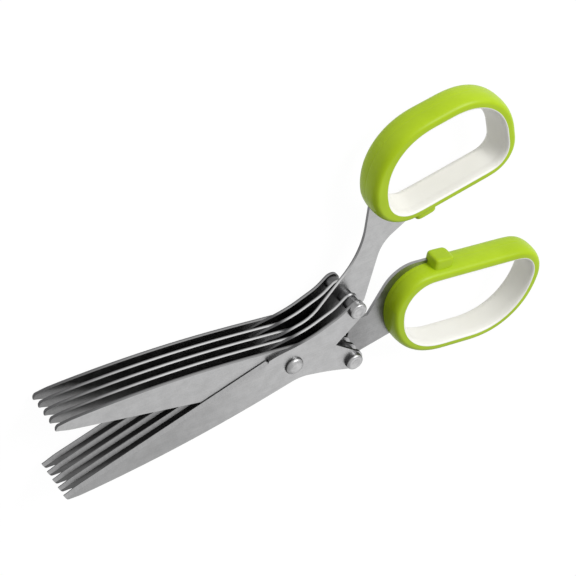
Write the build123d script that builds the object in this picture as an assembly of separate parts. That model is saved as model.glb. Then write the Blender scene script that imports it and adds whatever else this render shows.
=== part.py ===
"""Herb scissors with two interleaved stacks of blades on one pivot.

The thumb half has five blades, two ear rivets and the upper loop. The finger half has five blades, a tail rivet and
the lower loop. Each half is drawn as it lies with its loop's straight side along +X, from the pivot to the loops,
and is then opened about the pivot axis. The origin is on that axis, at the underside of the pivot's back head.
"""
import math
import os

from build123d import *

# Blade stack, counted from the front, which is +Z
blade_pairs = 5
plate_thickness = 1.2
shear_gap = 0.05
pair_pitch = 4.05
running_gap = 0.03
pass_clearance = 0.3
cut_overrun = 2.0
thumb_side = 1
finger_side = -1

# Opening of the scissors in degrees: the two halves at rest, and the travel from there
rest_opening = 20.0
closing_travel = 22.5
opening_travel = 2.5
slot_spare_angle = 1.0

# Corners hold X, Y and a round, as a share of the corner's shorter side. On the blades X shares follow the reach
# and Y shares follow the shank width.
blade_reach = 89.3
shank_width = 16.4
bevel_width = 1.3
edge_land = 0.3
heel_nick_radius = 0.5
heel_share = (-0.0985, 0.518)
tip_shares = ((-1.0, 0.049, 0.17), (-0.991, -0.134, 0.21))
spine_shares = ((-0.58, -0.478, 0.9), (-0.17, -0.465, 0.02))

# Pivot rivet and its washers
pivot_radius = 2.5
pivot_clearance = 0.05
pivot_head_radius = 3.4
pivot_head_height = 1.8
pivot_back_head_height = 1.6
pivot_washer_radius = 4.3

# Ear rivets and their spacers, placed by reach and angle in the thumb half
upper_ear_reach = 28.5
upper_ear_angle = 19.0
lower_ear_reach = 26.0
lower_ear_angle = -32.6
upper_ear_radius = 3.2
lower_ear_radius = 3.8
ear_rivet_radius = 1.75
ear_head_radius = 3.2
ear_head_height = 2.0
ear_back_head_radius = 2.6
ear_back_head_height = 0.6
ear_spacer_radius = 2.6

# Tail rivet and its spacers, placed by reach and angle in the finger half
tail_reach = 12.3
tail_angle = 4.0
tail_end_radius = 3.6
tail_rivet_radius = 1.5
tail_head_radius = 2.5
tail_head_height = 1.2
tail_spacer_radius = 2.2

# Rounds of the rivet heads, as shares of their heights
dome_round_share = 0.75
flat_round_share = 0.3

# Fork of the thumb blades: shares of the shank width, and directions on the ears in degrees
fork_back_shares = ((-0.27, 0.525, 0.4), (0.2, 0.48, 0.4), (0.61, 0.475, 0.45), (1.28, 0.597, 0.45))
fork_corner_share = (1.74, 0.28, 0.27)
fork_vertex_share = (1.018, -0.122)
fork_belly_shares = ((0.73, -0.755, 0.45), (0.09, -0.44, 0.3))
upper_ear_back_direction = 115.0
upper_ear_notch_direction = -30.0
lower_ear_notch_direction = 55.0
lower_ear_belly_direction = 238.0

# Arm of the thumb half: shares of the shank width
thumb_arm_back_shares = ((-0.27, 0.53, 0.4), (0.024, 0.424, 0.45), (0.817, 0.424, 0.34), (2.238, 1.457, 0.44))
thumb_arm_end_shares = ((2.652, 2.805, 0.0), (3.3, 3.1, 0.0), (3.9, 2.3, 0.0))
thumb_arm_front_shares = ((2.711, 1.435, 0.323), (2.067, 0.073, 0.047))
thumb_strip_reach = 2.1

# Tails and arm of the finger half: shares of the shank width
tail_belly_shares = ((0.35, -0.44, 0.35), (-0.1, -0.58, 0.35))
tail_back_share = (0.25, 0.45, 0.3)
tail_back_direction = 75.0
tail_belly_direction = -45.0
finger_arm_belly_shares = ((1.5, 0.2, 0.0), (1.5, -0.5, 0.0), (1.83, -0.848, 0.11))
finger_arm_end_shares = ((3.2, -0.354, 0.0), (3.9, 0.7, 0.0))
finger_strip_bend_share = (2.671, 0.54)
finger_arm_back_share = (2.177, 0.244, 0.05)
finger_strip_reach = 1.25

# Loops: rounded windows in rounded rings. Corner radii are shares of the width of the window, or of the ring for its
# outline, with the near cutting corner first and the near outer corner last.
loop_depth = 11.0
loop_drop = 2.5
side_wall = 2.7
thumb_near_wall = 4.6
finger_near_wall = 3.7
far_wall = 2.9
rim_round_share = 0.86
liner_wall = 1.5
liner_round_share = 0.6
tang_web = 0.9

thumb_window_length = 50.2
thumb_window_width = 34.6
thumb_window_x = 71.1
thumb_window_y = 51.0
thumb_window_round_shares = (0.332, 0.26, 0.564, 0.578)
thumb_ring_round_shares = (0.4, 0.3, 0.555, 0.57)

finger_window_length = 58.6
finger_window_width = 33.1
finger_window_x = 75.0
finger_window_y = 2.25
finger_window_round_shares = (0.347, 0.302, 0.665, 0.62)
finger_ring_round_shares = (0.35, 0.33, 0.64, 0.635)

# Bumpers, which meet when the scissors are closed
bumper_x = 61.4
bumper_length = 8.2
bumper_depth = 7.2
bumper_drop = 4.4
bumper_gap = 0.1
bumper_round = 0.8
thumb_bumper_reach = 5.5
strip_tuck = 2.0

# Values that follow
spacer_length = pair_pitch - plate_thickness
washer_length = pair_pitch - 2 * plate_thickness - shear_gap - running_gap
stack_depth = (blade_pairs - 1) * pair_pitch + 2 * plate_thickness + shear_gap
stack_back = pivot_back_head_height + running_gap
stack_front = stack_back + stack_depth
handle_pair = (blade_pairs + 1) // 2
past_rest = closing_travel - rest_opening
loop_back = stack_front - loop_drop - loop_depth


def polar(reach, angle):
    """Gives the point at a reach and an angle in degrees from the pivot."""
    return reach * math.cos(math.radians(angle)), reach * math.sin(math.radians(angle))


def on_circle(centre, radius, direction):
    """Gives the point of a circle in a direction in degrees."""
    x, y = polar(radius, direction)
    return centre[0] + x, centre[1] + y, 0


upper_ear = polar(upper_ear_reach, upper_ear_angle)
lower_ear = polar(lower_ear_reach, lower_ear_angle)
tail = polar(tail_reach, tail_angle)


def thumb_blade_z(pair):
    """Gives the back of a thumb blade; pair 1 is at the front."""
    return stack_front - plate_thickness - (pair - 1) * pair_pitch


def finger_blade_z(pair):
    """Gives the back of a finger blade, which lies behind its thumb blade."""
    return thumb_blade_z(pair) - shear_gap - plate_thickness


def corner_radius(before, corner, after, share):
    """Gives the radius whose arc takes up a share of the corner's shorter side."""
    first = corner - before
    second = after - corner
    turn = math.radians(first.get_angle(second))
    return share * min(first.length, second.length) / math.tan(turn / 2) if share else 0


def outline_face(corners):
    """Makes a face from corners that each hold X, Y and a round share."""
    points = [Vector(*corner[:2]) for corner in corners]
    radii = [
        corner_radius(points[place - 1], points[place], points[(place + 1) % len(points)], corners[place][2])
        for place in range(len(corners))
    ]
    return make_face(FilletPolyline(*points, radius=radii, close=True))


def shank_corner(share):
    """Turns shares of the shank width into a corner, which keeps its round share."""
    return tuple(value * shank_width for value in share[:2]) + share[2:]


def blade_corner(share):
    """Turns a share of the reach and a share of the shank width into a corner."""
    return share[0] * blade_reach, share[1] * shank_width, share[2]


def raised(face, back, depth):
    """Extrudes a face forward from the height of its back."""
    return extrude(Pos(0, 0, back) * face, amount=depth, dir=(0, 0, 1))


def drum(centre, radius, back, depth):
    """Makes an upright cylinder from the height of its back."""
    return raised(Pos(*centre) * Circle(radius), back, depth)


heel = (heel_share[0] * blade_reach, heel_share[1] * shank_width, 0)


def blade_corners():
    """Lists the corners from the spine at the shank round the tip to the heel of the edge."""
    corners = [blade_corner(share) for share in reversed(spine_shares)]
    corners += [blade_corner(share) for share in reversed(tip_shares)]
    return corners + [heel]


def lower_ear_corners():
    """Lists the corners from the fork's vertex round the lower ear and along the belly."""
    corners = [shank_corner(fork_vertex_share) + (0,)]
    corners += [on_circle(lower_ear, lower_ear_radius, lower_ear_notch_direction)]
    corners += [on_circle(lower_ear, lower_ear_radius, lower_ear_belly_direction)]
    return corners + [shank_corner(share) for share in fork_belly_shares]


def thumb_face():
    """Makes the outline of a thumb blade with its two ears."""
    corners = blade_corners() + [shank_corner(share) for share in fork_back_shares]
    corners += [on_circle(upper_ear, upper_ear_radius, upper_ear_back_direction)]
    corners += [on_circle(upper_ear, upper_ear_radius, upper_ear_notch_direction)]
    corners += [shank_corner(fork_corner_share)] + lower_ear_corners()
    face = outline_face(corners) + Pos(*upper_ear) * Circle(upper_ear_radius)
    return face + Pos(*lower_ear) * Circle(lower_ear_radius)


def strip_end(window_y, window_width, reach, side):
    """Gives the end of the steel strip that stands out of a loop towards the other loop, tucked into its bumper."""
    height = window_y - side * (window_width / 2 + side_wall + reach)
    return bumper_x - bumper_length / 2 + strip_tuck, height, 0


def thumb_arm_face():
    """Makes the outline of the thumb blade that carries the upper loop."""
    corners = blade_corners() + [shank_corner(share) for share in thumb_arm_back_shares]
    corners += [shank_corner(share) for share in thumb_arm_end_shares]
    corners += [strip_end(thumb_window_y, thumb_window_width, thumb_strip_reach, thumb_side)]
    corners += [shank_corner(share) for share in thumb_arm_front_shares] + lower_ear_corners()
    face = outline_face(corners) + Pos(*lower_ear) * Circle(lower_ear_radius)
    return face - thumb_window(tang_web)


def tail_face():
    """Makes the outline of a finger blade with its short tail, drawn with the edge below."""
    corners = [(x, -y, radius) for x, y, radius in reversed(blade_corners())]
    corners += [shank_corner(tail_back_share)]
    corners += [on_circle(tail, tail_end_radius, tail_back_direction)]
    corners += [on_circle(tail, tail_end_radius, tail_belly_direction)]
    corners += [shank_corner(share) for share in tail_belly_shares]
    return outline_face(corners) + Pos(*tail) * Circle(tail_end_radius)


def neck_face():
    """Makes the neck of the finger arm, which passes between the two columns of ear spacers."""
    column = ear_spacer_radius + pass_clearance
    top = polar(upper_ear_reach, upper_ear_angle - past_rest)[1] - column
    bottom = polar(lower_ear_reach, lower_ear_angle + rest_opening + opening_travel)[1] + column
    start = tail_reach / 2
    end = lower_ear_reach + 2 * column
    return Pos(start, bottom) * Rectangle(end - start, top - bottom, align=(Align.MIN, Align.MIN))


def finger_arm_face():
    """Makes the outline of the finger blade that carries the lower loop."""
    end = strip_end(finger_window_y, finger_window_width, finger_strip_reach, finger_side)
    corners = [shank_corner(share) for share in finger_arm_belly_shares + finger_arm_end_shares]
    corners += [end, (finger_strip_bend_share[0] * shank_width, end[1], finger_strip_bend_share[1])]
    corners += [shank_corner(finger_arm_back_share)]
    sweep = lower_ear_reach + ear_spacer_radius + pass_clearance
    arm = outline_face(corners) - Circle(sweep)
    return tail_face() + neck_face() + arm - finger_window(tang_web)


def rivet_slot():
    """Makes the arc slot that lets the tail rivet swing through a thumb blade."""
    first = tail_angle - rest_opening - opening_travel - slot_spare_angle
    last = tail_angle + past_rest + slot_spare_angle
    path = CenterArc((0, 0), math.hypot(*tail), first, last - first)
    return SlotArc(path, 2 * (tail_spacer_radius + pass_clearance))


def bevel_cutter(side, outer_z):
    """Makes the wedge that grinds an edge from a blade's outer face, which is in front on the thumb side."""
    tip = blade_corner(tip_shares[0])
    start = Vector(heel[0], side * heel[1], outer_z)
    along = Vector(tip[0], side * tip[1], outer_z) - start
    across = Vector(0, 0, side).cross(along.normalized()) * -1
    up = Vector(0, 0, side)
    drop = (plate_thickness - edge_land) * (bevel_width + cut_overrun) / bevel_width
    section = [
        start - across * bevel_width,
        start + across * cut_overrun - up * drop,
        start + across * cut_overrun + up * cut_overrun,
        start - across * bevel_width + up * cut_overrun,
    ]
    face = make_face(Polyline(*section, close=True))
    return extrude(face, amount=along.length + cut_overrun, dir=along.normalized())


def thumb_blade(face, pair):
    """Makes a thumb blade from its outline, with its holes and its front bevel."""
    face -= Circle(pivot_radius) + Pos(*heel[:2]) * Circle(heel_nick_radius)
    for ear in (upper_ear, lower_ear):
        face -= Pos(*ear) * Circle(ear_rivet_radius)
    if pair > 1:
        face -= rivet_slot()
    back = thumb_blade_z(pair)
    return raised(face, back, plate_thickness) - bevel_cutter(thumb_side, back + plate_thickness)


def tail_rivet():
    """Makes the tail rivet, countersunk at the front of the finger blades."""
    front = finger_blade_z(1) + plate_thickness
    back = finger_blade_z(blade_pairs)
    shaft = drum(tail, tail_rivet_radius, back - tail_head_height, front - back + tail_head_height)
    sink = Pos(*tail, front - plate_thickness / 4) * Cone(
        tail_rivet_radius, tail_head_radius, plate_thickness / 2)
    return shaft + sink + head(tail, tail_head_radius, back, tail_head_height, finger_side, flat_round_share)


def finger_blade(face, pair, rivet):
    """Makes a finger blade from its outline, with its holes and its back bevel."""
    face -= Circle(pivot_radius + pivot_clearance) + Pos(heel[0], -heel[1]) * Circle(heel_nick_radius)
    back = finger_blade_z(pair)
    return raised(face, back, plate_thickness) - bevel_cutter(finger_side, back) - rivet


def head(centre, radius, seat, height, side, round_share):
    """Makes a rivet head that stands on its seat, in front on the thumb side, with a rounded rim."""
    back = seat if side == thumb_side else seat - height
    solid = drum(centre, radius, back, height)
    rims = solid.edges().filter_by(GeomType.CIRCLE).sort_by(Axis.Z, reverse=side == thumb_side)
    return fillet(rims[0], round_share * height)


def ear_rivet(centre):
    """Makes a rivet through the ears of all thumb blades."""
    front = stack_front
    back = thumb_blade_z(blade_pairs)
    solid = drum(centre, ear_rivet_radius, back, front - back)
    solid += head(centre, ear_head_radius, front, ear_head_height, thumb_side, flat_round_share)
    return solid + head(
        centre, ear_back_head_radius, back, ear_back_head_height, finger_side, flat_round_share)


def pivot_rivet():
    """Makes the pivot rivet with its domed front head."""
    solid = drum((0, 0), pivot_radius, pivot_back_head_height, stack_front - pivot_back_head_height)
    solid += head((0, 0), pivot_head_radius, stack_front, pivot_head_height, thumb_side, dome_round_share)
    return solid + head(
        (0, 0), pivot_head_radius, pivot_back_head_height, pivot_back_head_height, finger_side, flat_round_share)


def tubes(centre, outer, inner, backs, length):
    """Makes the spacers of one rivet, one in each gap."""
    ring = Circle(outer) - Circle(inner)
    return Compound([raised(Pos(*centre) * ring, back, length).solid() for back in backs])


def rounded_box(length, width, side, radii):
    """Makes a rounded rectangle whose first corner is the near one on the cutting side."""
    cutting = -side * width / 2
    outer = side * width / 2
    corners = [(0, cutting), (length, cutting), (length, outer), (0, outer)]
    return make_face(FilletPolyline(*corners, radius=radii, close=True))


def thumb_window(wall):
    """Makes the upper loop's window in its place, grown by a wall."""
    radii = [share * thumb_window_width + wall for share in thumb_window_round_shares]
    face = rounded_box(thumb_window_length + 2 * wall, thumb_window_width + 2 * wall, thumb_side, radii)
    return Pos(thumb_window_x - thumb_window_length / 2 - wall, thumb_window_y) * face


def finger_window(wall):
    """Makes the lower loop's window in its place, grown by a wall."""
    radii = [share * finger_window_width + wall for share in finger_window_round_shares]
    face = rounded_box(finger_window_length + 2 * wall, finger_window_width + 2 * wall, finger_side, radii)
    return Pos(finger_window_x - finger_window_length / 2 - wall, finger_window_y) * face


def thumb_ring():
    """Makes the outline of the upper loop's ring."""
    width = thumb_window_width + 2 * side_wall
    radii = [share * width for share in thumb_ring_round_shares]
    face = rounded_box(thumb_window_length + thumb_near_wall + far_wall, width, thumb_side, radii)
    return Pos(thumb_window_x - thumb_window_length / 2 - thumb_near_wall, thumb_window_y) * face


def finger_ring():
    """Makes the outline of the lower loop's ring."""
    width = finger_window_width + 2 * side_wall
    radii = [share * width for share in finger_ring_round_shares]
    face = rounded_box(finger_window_length + finger_near_wall + far_wall, width, finger_side, radii)
    return Pos(finger_window_x - finger_window_length / 2 - finger_near_wall, finger_window_y) * face


def bumper(inner_y, face_y, side):
    """Makes a bumper block whose face lies flat on the other when the scissors are closed."""
    tilt = side * math.tan(math.radians(past_rest / 2)) * bumper_length / 2
    left = bumper_x - bumper_length / 2
    right = bumper_x + bumper_length / 2
    outline = Polyline(
        (left, inner_y), (right, inner_y), (right, face_y + tilt), (left, face_y - tilt), close=True)
    block = raised(make_face(outline), stack_front - bumper_drop - bumper_depth, bumper_depth)
    return fillet(block.edges().filter_by(lambda edge: abs(edge.center().Y - inner_y) > bumper_round), bumper_round)


def bumper_faces():
    """Gives the middle heights of the two bumper faces, which meet at the closed limit."""
    thumb_y = thumb_window_y - thumb_window_width / 2 - thumb_bumper_reach
    half = past_rest / 2
    closed = Vector(bumper_x, thumb_y).rotate(Axis.Z, -half)
    finger_y = Vector(closed.X, closed.Y - bumper_gap).rotate(Axis.Z, -half).Y
    return thumb_y, finger_y


def shell(outer_face, window_face, block, plate):
    """Makes a loop's outer ring with its rounded rims and bumper, slotted for the steel tang."""
    ring = raised(outer_face, loop_back, loop_depth)
    rims = ring.edges().group_by(Axis.Z)[0] + ring.edges().group_by(Axis.Z)[-1]
    ring = fillet(rims, rim_round_share * min(side_wall, thumb_near_wall, finger_near_wall, far_wall))
    opening = raised(window_face, loop_back - cut_overrun, loop_depth + 2 * cut_overrun)
    return ring + block - opening - plate


def liner(window_face, inner_face):
    """Makes a loop's white lining with rounded lips."""
    ring = raised(window_face, loop_back, loop_depth)
    hole = raised(inner_face, loop_back, loop_depth)
    ring -= hole
    lips = [
        edge for edge in ring.edges().group_by(Axis.Z)[0] + ring.edges().group_by(Axis.Z)[-1]
        if any(edge.distance_to(other) < liner_wall / 2 for other in hole.edges())
    ]
    return fillet(lips, liner_round_share * liner_wall)


def thumb_half():
    """Makes the nodes of the thumb half, as it lies closed."""
    nodes = {}
    for pair in range(1, blade_pairs + 1):
        carries_loop = pair == handle_pair
        name = "thumb_handle_blade" if carries_loop else f"thumb_blade_{pair}"
        nodes[name] = thumb_blade(thumb_arm_face() if carries_loop else thumb_face(), pair)
    gaps = [thumb_blade_z(pair) - spacer_length for pair in range(1, blade_pairs)]
    washers = [thumb_blade_z(pair + 1) + plate_thickness for pair in range(1, blade_pairs)]
    nodes["upper_ear_rivet"] = ear_rivet(upper_ear)
    nodes["lower_ear_rivet"] = ear_rivet(lower_ear)
    nodes["upper_ear_spacers"] = tubes(upper_ear, ear_spacer_radius, ear_rivet_radius, gaps, spacer_length)
    nodes["lower_ear_spacers"] = tubes(lower_ear, ear_spacer_radius, ear_rivet_radius, gaps, spacer_length)
    nodes["pivot_rivet"] = pivot_rivet()
    nodes["pivot_washers"] = tubes((0, 0), pivot_washer_radius, pivot_radius, washers, washer_length)
    block = bumper(thumb_window_y - thumb_window_width / 2, bumper_faces()[0], thumb_side)
    nodes["thumb_loop_shell"] = shell(thumb_ring(), thumb_window(0), block, nodes["thumb_handle_blade"])
    nodes["thumb_loop_liner"] = liner(thumb_window(0), thumb_window(-liner_wall))
    return nodes


def finger_half():
    """Makes the nodes of the finger half, as it lies closed."""
    rivet = tail_rivet()
    nodes = {"tail_rivet": rivet}
    for pair in range(1, blade_pairs + 1):
        carries_loop = pair == handle_pair
        name = "finger_handle_blade" if carries_loop else f"finger_blade_{pair}"
        nodes[name] = finger_blade(finger_arm_face() if carries_loop else tail_face(), pair, rivet)
    gaps = [finger_blade_z(pair) - spacer_length for pair in range(1, blade_pairs)]
    nodes["tail_spacers"] = tubes(tail, tail_spacer_radius, tail_rivet_radius, gaps, spacer_length)
    block = bumper(finger_window_y + finger_window_width / 2, bumper_faces()[1], finger_side)
    nodes["finger_loop_shell"] = shell(finger_ring(), finger_window(0), block, nodes["finger_handle_blade"])
    nodes["finger_loop_liner"] = liner(finger_window(0), finger_window(-liner_wall))
    return nodes


os.makedirs("parts", exist_ok=True)
for half, turn in ((thumb_half(), rest_opening / 2), (finger_half(), -rest_opening / 2)):
    for node, solid in half.items():
        export_step(Rot(0, 0, turn) * solid, f"parts/{node}.step")
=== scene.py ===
"""Herb scissors with interleaved blades, lying on their back on a white studio floor."""
import math
from typing import NamedTuple

import bmesh
import bpy
import numpy as np
from mathutils import Matrix, Vector


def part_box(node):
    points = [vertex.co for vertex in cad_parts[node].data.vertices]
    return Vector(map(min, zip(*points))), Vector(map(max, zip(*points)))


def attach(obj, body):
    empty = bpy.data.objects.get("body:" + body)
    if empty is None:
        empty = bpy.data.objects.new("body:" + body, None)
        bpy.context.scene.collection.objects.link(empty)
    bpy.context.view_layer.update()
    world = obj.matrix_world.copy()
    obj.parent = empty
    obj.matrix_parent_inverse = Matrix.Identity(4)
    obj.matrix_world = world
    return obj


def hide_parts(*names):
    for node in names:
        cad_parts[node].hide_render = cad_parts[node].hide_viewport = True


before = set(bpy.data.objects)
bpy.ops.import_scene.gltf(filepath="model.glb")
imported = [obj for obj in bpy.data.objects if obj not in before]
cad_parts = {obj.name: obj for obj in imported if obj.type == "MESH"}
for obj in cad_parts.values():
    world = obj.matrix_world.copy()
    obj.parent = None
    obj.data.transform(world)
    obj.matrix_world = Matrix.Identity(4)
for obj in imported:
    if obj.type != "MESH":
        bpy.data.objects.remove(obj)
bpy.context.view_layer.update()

MM = 0.001
WHITE = (1.0, 1.0, 1.0)

# Camera as it stood for the photograph, from the middle of the pivot on the front plate, in metres
EYE = (-0.2478, 0.4828, 0.4067)
EYE_RIGHT = (0.85496, -0.00226, 0.51869)
EYE_UP = (0.35634, 0.72921, -0.58418)
EYE_BACK = (-0.37691, 0.68429, 0.62425)
LENS = 0.125
SENSOR = 0.036
CLIP_START, CLIP_END = 0.01, 20.0

# Floor, in metres, and how bright it is: to the camera and in reflections it glows, and keeps the
# rest of each share as a plain lit floor, which holds the shadow
FLOOR_REACH = 3.0
FLOOR_DROP = 0.0002
FLOOR_GREY = (0.80, 0.80, 0.80)
FLOOR_ROUGHNESS = 0.8
FLOOR_GLOW = 1.04
FLOOR_DEEP_LOSS = 0.88
FLOOR_CAMERA_SHARE = 0.93
FLOOR_GLOSS_SHARE = 0.85

# Grey room round the object: its level, its rise along X, Y and Z, and its brightness in
# reflections and as plain light
ROOM_LEVEL = 0.54
ROOM_RISE = (0.16, 0.22, 0.14)
ROOM_SHINE_LEVEL, ROOM_SHINE_RISE = 0.46, 0.45
ROOM_DEEP_LOSS = 0.82
ROOM_FILL = 0.68

# Glossy bounces from which a ray counts as caught between the blades, with a soft change
DEEP_BOUNCES = (1.2, 1.8)

# Blade plates, in metres
STACK_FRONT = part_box("thumb_blade_1")[1][2]
STACK_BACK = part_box("thumb_blade_5")[0][2]
FINGER_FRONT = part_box("finger_blade_1")[1][2]
PAIR_PITCH = STACK_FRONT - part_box("thumb_blade_2")[1][2]
PLATE = STACK_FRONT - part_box("thumb_blade_1")[0][2]
FACE_MARGIN = 0.00001

# All finishes: the middle span of a noise, over which tones change, and the depth of the grain in
# metres
NOISE_SPAN = (0.3, 0.7)
GRAIN_DEPTH = 0.00002

# How far steel greys lean to blue: by one step, and on the blades' faces by a share of the grey
BLUE_STEP = 0.002
FACE_BLUE_SHARE = 0.005

# Blade steel: scales of its noises, per metre, the first two along, across and through a blade
STREAK_SCALE = (60.0, 2400.0, 900.0)
BEVEL_SCALE = (2600.0, 160.0, 300.0)
CLOUD_SCALE = 240.0
SPECKLE_SCALE = 2600.0

# Blade steel: greys of the front faces, of the bevels, and of the rims painted dark as shade and
# painted bright as a highlight
PLAIN_GREYS = (0.36, 0.47)
BEVEL_GREYS = (0.33, 0.47)
SHADED_RIM_GREYS = (0.10, 0.34)
RIM_HIGHLIGHT_GREY = (0.70, 0.70, 0.70)

# Spans of how square a surface is to the blades' axis, in which rims end and bevels start and end
RIM_END = (0.2, 0.5)
BEVEL_START = (0.5, 0.7)
BEVEL_END = (0.9, 0.97)

# Spans of pitches down from the front, in which the plates behind the front one, and the last
# plate, start
BEHIND_START = (0.4, 0.9)
LAST_START = (3.4, 3.9)

# Spans in metres: along X, in which the painted shade towards the tip ends and the rims' painted
# shade clears, and out from the middle line, in which the outer side of the blades starts
TIP_SHADE_END = (-0.055, 0.005)
RIM_SHADE_CLEARS = (0.028, 0.042)
OUTER_START = (0.005, 0.007)

# Painted highlight on the rims: the span of shares of a plate's depth in which it fades, and its
# share on the front plate and the last one
RIM_HIGHLIGHT_FADE = (0.35, 1.0)
RIM_HIGHLIGHT_ENDS = 0.35

# From here on lengths are in millimetres, as the pieces lie before each half turns from the closed
# line by half the opening, in degrees
HALF_OPENING = 10.0

# Meshing: points nearer than the first distance merge, a cut runs through points nearer than the
# second, and plates and moulded pieces are smooth up to their own angle, in degrees
MERGE_DISTANCE = 0.0005
CUT_DISTANCE = 0.0002
PLATE_SHARP = 25
MOULDED_SHARP = 40

# Blade tips: their end, the cuts across them from there, their middle line and its slope, and the
# share by which they are drawn in, with the reach of that along the blade
TIP_X = -89.18
TIP_CUTS = (0.3, 0.6, 1.0, 1.5, 2.1, 2.8, 3.6, 4.6, 5.8)
TIP_MIDDLE = -0.7
TIP_LEAN = -0.029
TIP_DRAW = 0.36
TIP_REACH = 3.2

# Section of the green rings
RING_BACK, RING_FRONT = (corner[2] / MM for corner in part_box("thumb_loop_shell"))
RING_ROWS = 97
SIDE_WALL = 2.7
FAR_WALL = 2.9
RIM_REACH = 2.6
RIM_WALL_SHARE = 0.96
RIM_POWER = 2.5
RIM_CROWDING = 0.65
GROOVE_DEPTH = 0.07
GROOVE_WIDTH = 0.22

# Section of the white linings
LINER_WALL = 1.85
RIM_OVERLAP = 0.75
LIP_ROWS = 17
LIP_DROP = 3.0
LIP_POWER = 2.2

# Outlines of the loops: points along each corner and each side, and the bell's width in points
CORNER_POINTS = 33
SIDE_POINTS = 24
BLEND = 3.0

# Bumper blocks
BUMPER_X = 61.4
BUMPER_LENGTH = 8.2
BUMPER_DEPTH = 7.2
BUMPER_DROP = 4.4
BUMPER_MIDDLE = STACK_FRONT / MM - BUMPER_DROP - BUMPER_DEPTH / 2
BUMPER_TILT = 1.25
BUMPER_ROOT = 0.3
BUMPER_SECTION_POWER = 5.0
BUMPER_END_POWER = 7.0
BUMPER_AROUND = 96
BUMPER_ROWS = 49

# Rivets: points of a head's profile and round it, and the dish's width as a share of the radius
HEAD_ROWS = 33
RIVET_AROUND = 72
DISH_SHARE = 0.5


class Half(NamedTuple):
    """One half: its turn at rest, in degrees, and the side along Y of its loop, 1 or -1."""

    name: str
    turn: float
    side: float


class Loop(NamedTuple):
    """Sizes of one finger loop.

    Length, width and middle are those of the opening in its shell, and the rounds of the corners
    are shares of the width of the opening or the ring.
    """

    length: float
    width: float
    near_wall: float
    window_rounds: tuple
    ring_rounds: tuple
    middle: tuple
    bumper_face: float
    draft: float


class Head(NamedTuple):
    """Sizes of a rivet's head on its seat. The height of a back head is below zero."""

    radius: float
    seat: float
    height: float
    power: float
    dish: float


class Zone(NamedTuple):
    """A stretch along X with soft ends, in metres, where rims get a painted highlight."""

    start: float
    start_fade: float
    end: float
    end_fade: float


THUMB = Half("thumb", HALF_OPENING, 1.0)
FINGER = Half("finger", -HALF_OPENING, -1.0)

THUMB_LOOP = Loop(
    length=50.2, width=34.6, near_wall=4.6, window_rounds=(0.332, 0.26, 0.564, 0.578),
    ring_rounds=(0.4, 0.3, 0.555, 0.57), middle=(71.1, 51.0), bumper_face=28.2, draft=2.1)
FINGER_LOOP = Loop(
    length=58.6, width=33.1, near_wall=3.7, window_rounds=(0.347, 0.302, 0.665, 0.62),
    ring_rounds=(0.35, 0.33, 0.64, 0.635), middle=(75.0, 2.25), bumper_face=25.395, draft=0.0)

PIVOT_SHAFT = 2.5
PIVOT_FRONT = Head(radius=3.4, seat=STACK_FRONT / MM, height=1.8, power=2.6, dish=0.0)
PIVOT_BACK = Head(radius=3.4, seat=1.6, height=-1.6, power=5.0, dish=0.0)
EAR_SHAFT = 1.75
EAR_FRONT = Head(radius=3.2, seat=STACK_FRONT / MM, height=2.0, power=5.0, dish=0.3)
EAR_BACK = Head(radius=2.6, seat=STACK_BACK / MM, height=-0.6, power=4.0, dish=0.0)

# Ears: their names, and the reach and the angle of their rivets from the pivot
EARS = (("upper_ear", 28.5, 19.0), ("lower_ear", 26.0, -32.6))


class Field:
    """One output of a shader node that takes part in sums."""

    def __init__(self, tree, socket):
        self.tree = tree
        self.socket = socket

    def maths(self, operation, first, second=0.0):
        """Adds a maths node, fed with fields or plain numbers."""
        node = self.tree.nodes.new("ShaderNodeMath")
        node.operation = operation
        feed(self.tree, node.inputs[0], first)
        feed(self.tree, node.inputs[1], second)
        return Field(self.tree, node.outputs[0])

    def __add__(self, other):
        return self.maths("ADD", self, other)

    def __radd__(self, other):
        return self.maths("ADD", other, self)

    def __sub__(self, other):
        return self.maths("SUBTRACT", self, other)

    def __rsub__(self, other):
        return self.maths("SUBTRACT", other, self)

    def __mul__(self, other):
        return self.maths("MULTIPLY", self, other)

    def __rmul__(self, other):
        return self.maths("MULTIPLY", other, self)

    def __truediv__(self, other):
        return self.maths("DIVIDE", self, other)

    def at_least(self, other):
        return self.maths("MAXIMUM", self, other)

    def at_most(self, other):
        return self.maths("MINIMUM", self, other)

    def remainder(self):
        """Gives what is left over after the last whole number."""
        return self.maths("FRACT", self)

    def size(self):
        return self.maths("ABSOLUTE", self)

    def between(self, low, high):
        """Rises smoothly from 0 at low to 1 at high."""
        node = self.tree.nodes.new("ShaderNodeMapRange")
        node.interpolation_type = "SMOOTHSTEP"
        feed(self.tree, node.inputs["Value"], self)
        node.inputs["From Min"].default_value = low
        node.inputs["From Max"].default_value = high
        return Field(self.tree, node.outputs[0])


def feed(tree, socket, value):
    """Links a field to a socket, or sets a plain number, vector or colour on it."""
    if isinstance(value, Field):
        tree.links.new(value.socket, socket)
    elif isinstance(value, tuple) and len(value) < len(socket.default_value):
        socket.default_value = (*value, 1.0)
    else:
        socket.default_value = value


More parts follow.
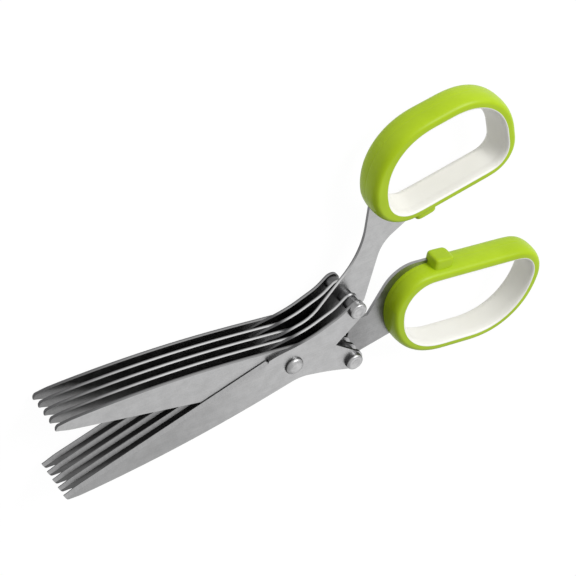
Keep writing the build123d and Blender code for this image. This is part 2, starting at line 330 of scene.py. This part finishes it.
class Finish:
    """The nodes round one shader, in a material or in the world."""

    def __init__(self, owner, shader):
        owner.use_nodes = True
        self.owner = owner
        self.tree = owner.node_tree
        self.shader = self.find(shader)

    def find(self, kind):
        """Gives the node of a kind that is there from the start."""
        return next(node for node in self.tree.nodes if node.type == kind)

    def node(self, kind, output=0, **values):
        """Adds any node, with the values or links of its sockets."""
        node = self.tree.nodes.new("ShaderNode" + kind)
        for name, value in values.items():
            feed(self.tree, node.inputs[name.replace("_", " ")], value)
        return Field(self.tree, node.outputs[output])

    def coordinates(self, kind):
        """Gives the texture coordinates of a kind."""
        return self.node("TexCoord", output=kind)

    def place(self, turn=0.0, scale=(1.0, 1.0, 1.0)):
        """Gives object coordinates, turned about Z by degrees and then scaled."""
        turn = (0.0, 0.0, math.radians(turn))
        return self.node(
            "Mapping", Vector=self.coordinates("Object"), Rotation=turn, Scale=scale)

    def noise(self, where, scale=1.0, detail=2.0, roughness=0.5):
        return self.node(
            "TexNoise", output="Fac", Vector=where, Scale=scale, Detail=detail,
            Roughness=roughness)

    def mix(self, share, first, second):
        """Mixes two colours by a field."""
        node = self.tree.nodes.new("ShaderNodeMix")
        node.data_type = "RGBA"
        feed(self.tree, node.inputs[0], share)
        feed(self.tree, node.inputs[6], first)
        feed(self.tree, node.inputs[7], second)
        return Field(self.tree, node.outputs[2])

    def axis(self, axis, kind="Object"):
        """Gives one axis of the place on the piece, in metres, or of other coordinates."""
        return self.node("SeparateXYZ", output=axis, Vector=self.coordinates(kind))

    def facing(self):
        """Gives 1 on surfaces square to the blades' axis, and 0 on their rims."""
        return self.axis("Z", "Normal").size()

    def bump(self, height, strength):
        return self.node("Bump", Height=height, Strength=strength, Distance=GRAIN_DEPTH)

    def coat(self, **values):
        """Sets or links sockets of the shader."""
        for name, value in values.items():
            feed(self.tree, self.shader.inputs[name.replace("_", " ")], value)
        return self.owner


def new_finish(name):
    """Makes a material with one principled shader."""
    return Finish(bpy.data.materials.new(name), "BSDF_PRINCIPLED")


def grey(level, lean=BLUE_STEP):
    """Gives a steel grey that leans a little to blue."""
    return (level, level, level + lean)


def painted_rim_highlights(paint, plates_down, behind, upper_highlight, lower_highlight):
    """Gives the painted highlight on the rims.

    It lies only on the two outer sides of the blades, each in its own zone along X, in
    a band at the front of each plate that fades towards its back, and most on the three middle
    plates.
    """
    along_x, along_y = paint.axis("X"), paint.axis("Y")
    rim_highlight = 0.0
    for side, zone in ((1.0, upper_highlight), (-1.0, lower_highlight)):
        start = along_x.between(zone.start - zone.start_fade, zone.start + zone.start_fade)
        end = along_x.between(zone.end - zone.end_fade, zone.end + zone.end_fade)
        outer_side = (side * along_y).between(*OUTER_START)
        rim_highlight = rim_highlight + start * (1.0 - end) * outer_side
    depth = plates_down.remainder() * (PAIR_PITCH / PLATE)
    middle = behind * (1.0 - plates_down.between(*LAST_START))
    share = RIM_HIGHLIGHT_ENDS + (1.0 - RIM_HIGHLIGHT_ENDS) * middle
    return rim_highlight * (1.0 - depth.between(*RIM_HIGHLIGHT_FADE)) * share


def brushed_blade(half, front, upper_highlight, lower_highlight, arm_shade_clears, tip_shade_greys, behind_shade_greys):
    """Satin blade steel, ground along the blade, with a bevel ground across it.

    The rims are painted dark as shade between the plates, less so from a place along X towards the
    loops, apart from their zones of painted highlight. The front plate's face goes over to darker
    greys towards the tip as painted shade. The plates behind it are painted darker as shade
    between the plates, which clears along the arms between two places towards the loops, and their
    bevels are painted darker too.
    """
    paint = new_finish("brushed_" + half.name + "_blade")
    along_blade = paint.place(-half.turn)
    streaks = paint.noise(paint.place(-half.turn, STREAK_SCALE), 1.0, 3.0, 0.6)
    grain = paint.noise(paint.place(-half.turn, BEVEL_SCALE))
    cloud = paint.noise(along_blade, CLOUD_SCALE, 3.0, 0.55)
    speckle = paint.noise(along_blade, SPECKLE_SCALE)
    facing = paint.facing()
    ground = facing.between(*BEVEL_START) * (1.0 - facing.between(*BEVEL_END))
    rim = 1.0 - facing.between(*RIM_END)

    along_x = paint.axis("X")
    plates_down = (front + FACE_MARGIN - paint.axis("Z")) / PAIR_PITCH
    behind = plates_down.between(*BEHIND_START)
    rim_highlight = painted_rim_highlights(paint, plates_down, behind, upper_highlight, lower_highlight)

    tone = (0.25 * streaks + 0.45 * cloud + 0.30 * speckle).between(*NOISE_SPAN)
    tip, plain, behind_shade = (
        paint.mix(tone, *(grey(level, FACE_BLUE_SHARE * level) for level in greys))
        for greys in (tip_shade_greys, PLAIN_GREYS, behind_shade_greys))
    # painted shade: the faces go over to darker greys towards the tip
    face = paint.mix(along_x.between(*TIP_SHADE_END), tip, plain)
    # painted shade between the plates: the plates behind the front one are darker, clearing along
    # the arms
    face = paint.mix(behind * (1.0 - along_x.between(*arm_shade_clears)), face, behind_shade)
    # painted shade: bevels of the plates behind the front one are darker
    bevel = paint.mix(grain - 0.35 * behind, *map(grey, BEVEL_GREYS))
    # painted shade: rims are dark, lighter from a place along X towards the loops
    shaded_rim = paint.mix(along_x.between(*RIM_SHADE_CLEARS), *map(grey, SHADED_RIM_GREYS))
    # painted highlight: rims turn bright grey in their zones
    rim_shade_and_highlight = paint.mix(rim_highlight, shaded_rim, RIM_HIGHLIGHT_GREY)
    height = (streaks + ground * (grain - streaks) + 0.5 * speckle) * (1.0 - rim)
    return paint.coat(
        Base_Color=paint.mix(rim, paint.mix(ground, face, bevel), rim_shade_and_highlight), Metallic=1.0,
        Roughness=0.26 + 0.12 * cloud + 0.05 * streaks + 0.06 * rim,
        Normal=paint.bump(height, 0.25))


def satin_rivet():
    """Tumbled rivet steel with a soft drift of tone, and painted shade that darkens the surfaces
    facing sideways, the heads' sides and the barrel.
    """
    paint = new_finish("satin_rivet")
    cloud = paint.noise(paint.place(), 420.0, 3.0, 0.55)
    speckle = paint.noise(paint.place(), 3200.0)
    tone = cloud.between(*NOISE_SPAN)
    face = paint.mix(tone, grey(0.39), grey(0.52))
    # painted shade: surfaces that face sideways, the heads' sides and the barrel, are darker
    shaded_barrel = paint.mix(tone, grey(0.24), grey(0.34))
    return paint.coat(
        Base_Color=paint.mix(paint.facing().between(0.15, 0.75), shaded_barrel, face), Metallic=1.0,
        Roughness=0.30 + 0.10 * cloud, Normal=paint.bump(0.6 * cloud + 0.4 * speckle, 0.15))


def dull_spacer():
    """Sawn and tumbled spacer tube with a dull surface, painted dark as the shade between the
    plates, with turning marks round it.
    """
    paint = new_finish("dull_spacer")
    cloud = paint.noise(paint.place(), 500.0, 3.0, 0.6)
    turning = paint.noise(paint.place(0.0, (200.0, 200.0, 5000.0)))
    # the dark greys are painted shade between the plates
    return paint.coat(
        Base_Color=paint.mix(cloud.between(*NOISE_SPAN), grey(0.11), grey(0.19)), Metallic=1.0,
        Roughness=0.42 + 0.12 * cloud, Normal=paint.bump(turning, 0.2))


def soft_green():
    """Soft-touch green plastic with a fine spark-eroded grain."""
    paint = new_finish("soft_green")
    cloud = paint.noise(paint.place(), 60.0, 3.0)
    grain = paint.noise(paint.place(), 4200.0, roughness=0.6)
    base = paint.mix(cloud.between(*NOISE_SPAN), (0.355, 0.510, 0.004), (0.400, 0.565, 0.010))
    return paint.coat(
        Base_Color=base, Roughness=0.34 + 0.1 * grain, IOR=1.45, Specular_IOR_Level=0.3,
        Normal=paint.bump(grain, 0.12))


def white_lining():
    """Smooth off-white plastic with a faint warm drift, a soft gloss, and a front-facing lip
    painted whiter as a highlight.
    """
    paint = new_finish("white_lining")
    cloud = paint.noise(paint.place(), 45.0)
    grain = paint.noise(paint.place(), 2200.0)
    wall = paint.mix(cloud.between(*NOISE_SPAN), (0.80, 0.79, 0.73), (0.85, 0.84, 0.79))
    # painted highlight: the front-facing lip is whiter than the wall
    lip = paint.facing().between(0.3, 0.9)
    return paint.coat(
        Base_Color=paint.mix(lip, wall, (0.86, 0.855, 0.82)), Roughness=0.34 + 0.08 * grain,
        IOR=1.45, Normal=paint.bump(grain, 0.05))


def dress(node, material):
    """Puts a finish on a CAD node."""
    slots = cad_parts[node].data.materials
    slots.clear()
    slots.append(material)


def turned(points, degrees):
    """Turns points about the pivot axis."""
    cosine, sine = math.cos(math.radians(degrees)), math.sin(math.radians(degrees))
    return points @ np.array(((cosine, sine, 0.0), (-sine, cosine, 0.0), (0.0, 0.0, 1.0)))


def power_curve(angle, power):
    """Gives the two shares of a superellipse.

    Each is the cosine or sine of the angle, raised to two over the power, with its sign kept.
    """
    return tuple(
        np.sign(share) * np.abs(share) ** (2.0 / power)
        for share in (np.cos(angle), np.sin(angle)))


def full_circle(steps):
    """Gives equal steps of a full circle, without its last point."""
    return np.linspace(0.0, 2.0 * np.pi, steps + 1)[:-1]


def place_piece(mesh, sharp_angle, material, body, node):
    """Shades a mesh smooth up to an angle in degrees, and sets it in place of a CAD node."""
    mesh.polygons.foreach_set("use_smooth", np.ones(len(mesh.polygons), dtype=bool))
    mesh.set_sharp_from_angle(angle=math.radians(sharp_angle))
    mesh.materials.append(material)
    piece = bpy.data.objects.new(mesh.name, mesh)
    bpy.context.scene.collection.objects.link(piece)
    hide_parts(node)
    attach(piece, body)


def make_piece(name, grids, material, body, node):
    """Makes closed surfaces from grids whose rows close on themselves, in place of a CAD node.

    Each grid's first and last rows meet, or each shrinks to a pole, so merging doubles closes the
    surface.
    """
    points, faces, start = [], [], 0
    for grid in grids:
        corner = start + np.arange(grid.shape[0] * grid.shape[1]).reshape(grid.shape[:2])
        across = np.roll(corner, -1, axis=1)
        sides = (corner[:-1], corner[1:], across[1:], across[:-1])
        faces.append(np.stack(sides, axis=-1).reshape(-1, 4))
        points.append(grid.reshape(-1, 3) * MM)
        start += corner.size
    mesh = bpy.data.meshes.new(name)
    mesh.from_pydata(np.concatenate(points).tolist(), [], np.concatenate(faces).tolist())
    shape = bmesh.new()
    shape.from_mesh(mesh)
    bmesh.ops.remove_doubles(shape, verts=shape.verts, dist=MERGE_DISTANCE * MM)
    bmesh.ops.recalc_face_normals(shape, faces=shape.faces)
    shape.to_mesh(mesh)
    shape.free()
    place_piece(mesh, MOULDED_SHARP, material, body, node)


def pointed_plate(name, half, material, node):
    """Makes a blade plate whose tip is drawn in to a blunt point, in place of its CAD node.

    A merged copy is cut across at steps from the tip. Each point then moves towards the middle
    line of the tip by a share of its distance from it, which falls as a bell curve along the
    blade.
    """
    shape = bmesh.new()
    shape.from_mesh(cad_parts[node].data)
    bmesh.ops.remove_doubles(shape, verts=shape.verts, dist=MERGE_DISTANCE * MM)
    along = turned(np.array((1.0, 0.0, 0.0)), half.turn)
    for cut in TIP_CUTS:
        bmesh.ops.bisect_plane(
            shape, geom=[*shape.verts, *shape.edges, *shape.faces], dist=CUT_DISTANCE * MM,
            plane_co=along * (TIP_X + cut) * MM, plane_no=along)
    mesh = bpy.data.meshes.new(name)
    shape.to_mesh(mesh)
    shape.free()
    mesh.attributes.remove(mesh.attributes["custom_normal"])
    points = np.empty(3 * len(mesh.vertices), dtype=np.float32)
    mesh.vertices.foreach_get("co", points)
    points = turned(points.reshape(-1, 3) / MM, -half.turn)
    from_tip = points[:, 0] - TIP_X
    middle = half.side * (TIP_MIDDLE + TIP_LEAN * from_tip)
    points[:, 1] += (middle - points[:, 1]) * TIP_DRAW * np.exp(-(from_tip / TIP_REACH) ** 2)
    points = turned(points, half.turn) * MM
    mesh.vertices.foreach_set("co", points.astype(np.float32).ravel())
    mesh.update()
    place_piece(mesh, PLATE_SHARP, material, half.name + "_half", node)


def outline(length, width, side, radii, left, middle):
    """Runs once round a rounded rectangle from its near end.

    Each corner is a quarter circle of its own radius, and each side is the straight line between
    two of them. Each point is then moved to the mean of its neighbours under a bell curve, so
    that the corners run into the sides.
    """
    radii = np.array(radii)[:, None]
    inward_x = np.array(((1.0,), (-1.0,), (-1.0,), (1.0,)))
    inward_y = np.array(((1.0,), (1.0,), (-1.0,), (-1.0,)))
    centre_x = length / 2 + inward_x * (radii - length / 2)
    centre_y = inward_y * (radii - width / 2)
    starts = np.array(((180.0,), (270.0,), (0.0,), (90.0,)))
    angle = np.radians(starts + np.linspace(0.0, 90.0, CORNER_POINTS))
    arcs = np.stack(
        (centre_x + radii * np.cos(angle), centre_y + radii * np.sin(angle)), axis=-1)
    share = np.linspace(0.0, 1.0, SIDE_POINTS + 2)[1:-1, None]
    runs = arcs[:, -1:] * (1.0 - share) + np.roll(arcs[:, :1], -1, axis=0) * share
    path = np.concatenate((arcs, runs), axis=1).reshape(-1, 2)
    waves = np.fft.fftfreq(len(path))[:, None]
    bell = np.exp(-0.5 * (2 * np.pi * BLEND * waves) ** 2)
    path = np.real(np.fft.ifft(np.fft.fft(path, axis=0) * bell, axis=0))
    return np.stack((left + path[:, 0], middle + side * path[:, 1]), axis=-1)


def ring_surface(outer, inner):
    """Carries a moulded section round a loop, between its two outlines.

    From the inner outline the section crosses the flat back, follows half a superellipse over the
    rounded rims and the crowned wall, with a fine parting groove whose depth falls as a bell
    curve from mid-height, and crosses the flat front to the inner outline again.
    """
    across = outer - inner
    reach = np.linalg.norm(across, axis=1, keepdims=True)
    outward = across / reach
    share = np.linspace(-1.0, 1.0, RING_ROWS)
    share = (1.0 - RIM_CROWDING) * share + RIM_CROWDING * share ** 3
    crown, rise = (
        values[:, None, None] for values in power_curve(np.radians(90.0) * share, RIM_POWER))
    height = rise * (RING_FRONT - RING_BACK) / 2
    groove = GROOVE_DEPTH * np.exp(-(height / GROOVE_WIDTH) ** 2)
    rim = np.minimum(RIM_REACH, RIM_WALL_SHARE * reach)
    wall = outer - outward * ((1.0 - crown) * rim + groove)
    level = np.broadcast_to((RING_FRONT + RING_BACK) / 2 + height, (*wall.shape[:2], 1))
    wall = np.concatenate((wall, level), axis=-1)
    back, front = (
        np.concatenate((inner, np.full_like(reach, level)), axis=1)[None]
        for level in (RING_BACK, RING_FRONT))
    return np.concatenate((back, wall, front, back))


def liner_surface(window, front_bore, back_bore):
    """Carries the lining's section round a loop, between the window in the shell and the bore.

    Each lip is a quarter of a superellipse, flat at the shell and upright at the bore, and the
    wall between the two lips is straight, from the bore at the front to the bore at the back.
    """
    angle = np.linspace(np.pi / 2, 0.0, LIP_ROWS)
    share, rise = (values[:, None, None] for values in power_curve(angle, LIP_POWER))
    drop = LIP_DROP * (1.0 - rise)
    front, back = (
        np.concatenate((
            window + (bore - window) * share,
            np.broadcast_to(level, (len(share), len(window), 1))), axis=-1)
        for bore, level in ((front_bore, RING_FRONT - drop), (back_bore, RING_BACK + drop)))
    return np.concatenate((back, front[::-1], back[:1]))


def bumper_surface(inner_y, face_y, side):
    """Makes a soft-cornered bumper block that grows out of the ring along Y.

    Its section is a superellipse, which shrinks to a pole at both ends along another one, and its
    faces are tilted so that the two bumpers meet flat.
    """
    length, depth = power_curve(full_circle(BUMPER_AROUND), BUMPER_SECTION_POWER)
    rows = np.linspace(-np.pi / 2, np.pi / 2, BUMPER_ROWS)[:, None]
    width, out = power_curve(rows, BUMPER_END_POWER)
    tilt = side * math.tan(math.radians(BUMPER_TILT))
    x = width * length * BUMPER_LENGTH / 2
    y = (inner_y + face_y) / 2 + out * (face_y - inner_y) / 2 + tilt * x
    z = BUMPER_MIDDLE + width * depth * BUMPER_DEPTH / 2
    return np.stack((BUMPER_X + x, y, z), axis=-1)


def make_loop(half, loop, green, white):
    """Makes one loop: its green ring and bumper block, and its white lining.

    The lining closes in by the loop's draft at the back.
    """
    left = loop.middle[0] - loop.length / 2
    middle = loop.middle[1]
    radii = np.array(loop.window_rounds) * loop.width
    window, front_bore, back_bore = (
        outline(
            loop.length - 2 * wall, loop.width - 2 * wall, half.side, radii - wall, left + wall,
            middle)
        for wall in (RIM_OVERLAP, LINER_WALL, LINER_WALL + loop.draft))
    ring_length = loop.length + loop.near_wall + FAR_WALL
    ring_width = loop.width + 2 * SIDE_WALL
    ring = outline(
        ring_length, ring_width, half.side, np.array(loop.ring_rounds) * ring_width,
        left - loop.near_wall, middle)
    root = middle - half.side * (loop.width / 2 + BUMPER_ROOT)
    block = bumper_surface(root, loop.bumper_face, half.side)
    name, body = half.name, half.name + "_half"
    shell = [turned(grid, half.turn) for grid in (ring_surface(ring, window), block)]
    lining = [turned(liner_surface(window, front_bore, back_bore), half.turn)]
    make_piece(name + "_grip", shell, green, body, name + "_loop_shell")
    make_piece(name + "_lining", lining, white, body, name + "_loop_liner")


def head_rows(head):
    """Gives a rivet head's profile from its pole to its seat.

    It is a quarter superellipse of the radius and the height, less a dish that falls as a
    fourth-power bell.
    """
    share, rise = power_curve(np.linspace(np.pi / 2, 0.0, HEAD_ROWS), head.power)
    out = head.radius * share
    dish = head.dish * np.exp(-(out / (DISH_SHARE * head.radius)) ** 4)
    level = head.seat + head.height * rise - math.copysign(1.0, head.height) * dish
    return np.stack((out, level), axis=-1)


def rivet_piece(name, node, centre, shaft, front, back, material):
    """Turns a rivet's profile round its axis: the front head, the shaft and the back head."""
    shaft_rows = np.array(((shaft, front.seat), (shaft, back.seat)))
    profile = np.concatenate((head_rows(front), shaft_rows, head_rows(back)[::-1]))
    around = full_circle(RIVET_AROUND)
    x = centre[0] + profile[:, :1] * np.cos(around)
    y = centre[1] + profile[:, :1] * np.sin(around)
    z = np.broadcast_to(profile[:, 1:], x.shape)
    grid = turned(np.stack((x, y, z), axis=-1), THUMB.turn)
    make_piece(name, [grid], material, "thumb_half", node)


def first_look(paint):
    """Gives three fields, each 1 for its own rays.

    The rays are the camera's own, those that are reflected or let through, and those that have
    bounced on between the blades.
    """
    camera, glossy, transmitted, depth = (
        paint.node("LightPath", output=name) for name in (
            "Is Camera Ray", "Is Glossy Ray", "Is Transmission Ray", "Glossy Depth"))
    return camera, (glossy + transmitted).at_most(1.0), depth.between(*DEEP_BOUNCES)


def studio_floor():
    """Lays the white floor, which keeps a soft shadow."""
    mesh = bpy.data.meshes.new("studio_floor")
    corners = ((-1, -1), (1, -1), (1, 1), (-1, 1))
    mesh.from_pydata(
        [(x * FLOOR_REACH, y * FLOOR_REACH, -FLOOR_DROP) for x, y in corners],
        [], [(0, 1, 2, 3)])
    floor = bpy.data.objects.new("studio_floor", mesh)
    bpy.context.scene.collection.objects.link(floor)
    paint = new_finish("studio_floor")
    mesh.materials.append(paint.coat(Base_Color=FLOOR_GREY, Roughness=FLOOR_ROUGHNESS))
    camera, glossy, deep = first_look(paint)
    glow = paint.node("Emission", Color=WHITE, Strength=FLOOR_GLOW - FLOOR_DEEP_LOSS * deep)
    share = (camera * FLOOR_CAMERA_SHARE + glossy * FLOOR_GLOSS_SHARE).at_most(1.0)
    mixer = paint.tree.nodes.new("ShaderNodeMixShader")
    feed(paint.tree, mixer.inputs[0], share)
    paint.tree.links.new(paint.shader.outputs[0], mixer.inputs[1])
    paint.tree.links.new(glow.socket, mixer.inputs[2])
    paint.tree.links.new(mixer.outputs[0], paint.find("OUTPUT_MATERIAL").inputs["Surface"])


def studio_room():
    """Lights the object from a plain grey room that is paler above and to the right."""
    paint = Finish(bpy.data.worlds.new("studio_world"), "BACKGROUND")
    bpy.context.scene.world = paint.owner
    level = ROOM_LEVEL
    for name, rise in zip("XYZ", ROOM_RISE):
        level = level + rise * paint.axis(name, "Generated")
    level = level.at_least(0.0)
    camera, glossy, deep = first_look(paint)
    diffuse = paint.node("LightPath", output="Is Diffuse Ray")
    shine = glossy * (1.0 - ROOM_DEEP_LOSS * deep) * (ROOM_SHINE_LEVEL + ROOM_SHINE_RISE * level)
    paint.coat(Color=WHITE, Strength=camera + shine + diffuse * ROOM_FILL * level)


def lamp(name, place, size, power):
    """Adds a square soft box that faces the pivot, with its size in metres and power in watts."""
    light = bpy.data.lights.new(name, "AREA")
    light.shape = "SQUARE"
    light.size = size
    light.energy = power
    holder = bpy.data.objects.new(name, light)
    holder.location = place
    holder.rotation_euler = Vector(place).to_track_quat("Z", "Y").to_euler()
    bpy.context.scene.collection.objects.link(holder)


def studio_camera():
    """Stands the camera where the photographer's stood."""
    camera = bpy.data.objects.new("camera", bpy.data.cameras.new("camera"))
    camera.data.sensor_width = SENSOR / MM
    camera.data.lens = LENS / MM
    camera.data.clip_start = CLIP_START
    camera.data.clip_end = CLIP_END
    facing = Matrix((EYE_RIGHT, EYE_UP, EYE_BACK)).transposed().to_4x4()
    place = Vector(EYE) + Vector((0.0, 0.0, STACK_FRONT))
    camera.matrix_world = Matrix.Translation(place) @ facing
    bpy.context.scene.collection.objects.link(camera)
    bpy.context.scene.camera = camera


def studio():
    """Sets the floor, the room, the lamps and the camera."""
    studio_floor()
    studio_room()
    lamp("key", place=(0.46, 0.66, 0.64), size=0.45, power=7.2)
    lamp("panel", place=(0.40, -0.70, 0.66), size=0.8, power=1.05)
    studio_camera()
    bpy.context.scene.view_settings.view_transform = "Standard"


def scissors():
    """Dresses the CAD nodes, and makes the plates, the loops and the rivets."""
    thumb_steel = brushed_blade(
        THUMB, STACK_FRONT,
        upper_highlight=Zone(start=0.004, start_fade=0.003, end=0.028, end_fade=0.006),
        lower_highlight=Zone(start=-0.076, start_fade=0.010, end=0.0, end_fade=0.005),
        arm_shade_clears=(0.010, 0.030), tip_shade_greys=(0.26, 0.34), behind_shade_greys=(0.07, 0.12))
    finger_steel = brushed_blade(
        FINGER, FINGER_FRONT,
        upper_highlight=Zone(start=-0.064, start_fade=0.024, end=0.001, end_fade=0.0015),
        lower_highlight=Zone(start=0.0, start_fade=0.005, end=0.030, end_fade=0.010),
        arm_shade_clears=(0.020, 0.064), tip_shade_greys=(0.34, 0.445), behind_shade_greys=(0.16, 0.25))
    rivet_steel = satin_rivet()
    shaded_spacer_steel = dull_spacer()
    green = soft_green()
    white = white_lining()
    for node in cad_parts:
        if "blade" in node:
            half, steel = (
                (THUMB, thumb_steel) if node.startswith("thumb") else (FINGER, finger_steel))
            dress(node, steel)
            pointed_plate(node.replace("blade", "plate"), half, steel, node)
        elif node.endswith("shell"):
            dress(node, green)
        elif node.endswith("liner"):
            dress(node, white)
        elif node.endswith(("spacers", "washers")):
            dress(node, shaded_spacer_steel)
        else:
            dress(node, rivet_steel)

    make_loop(THUMB, THUMB_LOOP, green, white)
    make_loop(FINGER, FINGER_LOOP, green, white)
    rivet_piece(
        "pivot_stud", "pivot_rivet", (0.0, 0.0), PIVOT_SHAFT, PIVOT_FRONT, PIVOT_BACK,
        rivet_steel)
    for name, reach, degrees in EARS:
        angle = math.radians(degrees)
        centre = (reach * math.cos(angle), reach * math.sin(angle))
        rivet_piece(
            name + "_stud", name + "_rivet", centre, EAR_SHAFT, EAR_FRONT, EAR_BACK, rivet_steel)


scissors()
studio()
